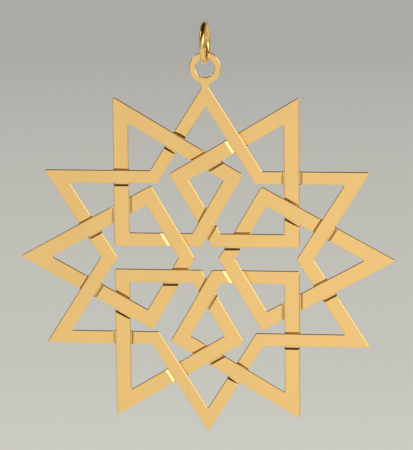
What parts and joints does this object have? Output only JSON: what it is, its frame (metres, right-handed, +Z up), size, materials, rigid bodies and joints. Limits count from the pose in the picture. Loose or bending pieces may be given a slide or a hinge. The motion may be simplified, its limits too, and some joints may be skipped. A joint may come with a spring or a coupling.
{
  "type": "hanging star ornament",
  "caption": "Flat gold-plated star of interlaced endless bands, with an eye at its top point and a round jump ring to hang it by.",
  "frame": {"origin": "inner top of the jump ring, where a thread, hook or nail carries the ornament", "axes": "+Z up through the star's top and bottom points, +X to the right seen from the front, +Y away from the viewer; the flat front faces -Y"},
  "size_m": [0.0762, 0.0086, 0.0836],
  "materials": {
    "band_gold": "gold-plated brass sheet, smooth, softly polished faces with brighter rounded edges",
    "ring_gold": "gold-plated round brass wire, bright polished"
  },
  "bodies": {
    "ring": {"jump_ring": "ring_gold"},
    "star": {"star_band": "band_gold", "kite_band_right": "band_gold", "kite_band_upper_right": "band_gold", "kite_band_upper_left": "band_gold", "kite_band_left": "band_gold", "kite_band_lower_left": "band_gold", "kite_band_lower_right": "band_gold"}
  },
  "joints": [
    {"name": "star_swing", "type": "hinge", "parent": "ring", "child": "star", "pos_m": [0, 0, -0.0057], "axis": [1, 0, 0], "range_deg": [-100, 100]}
  ]
}
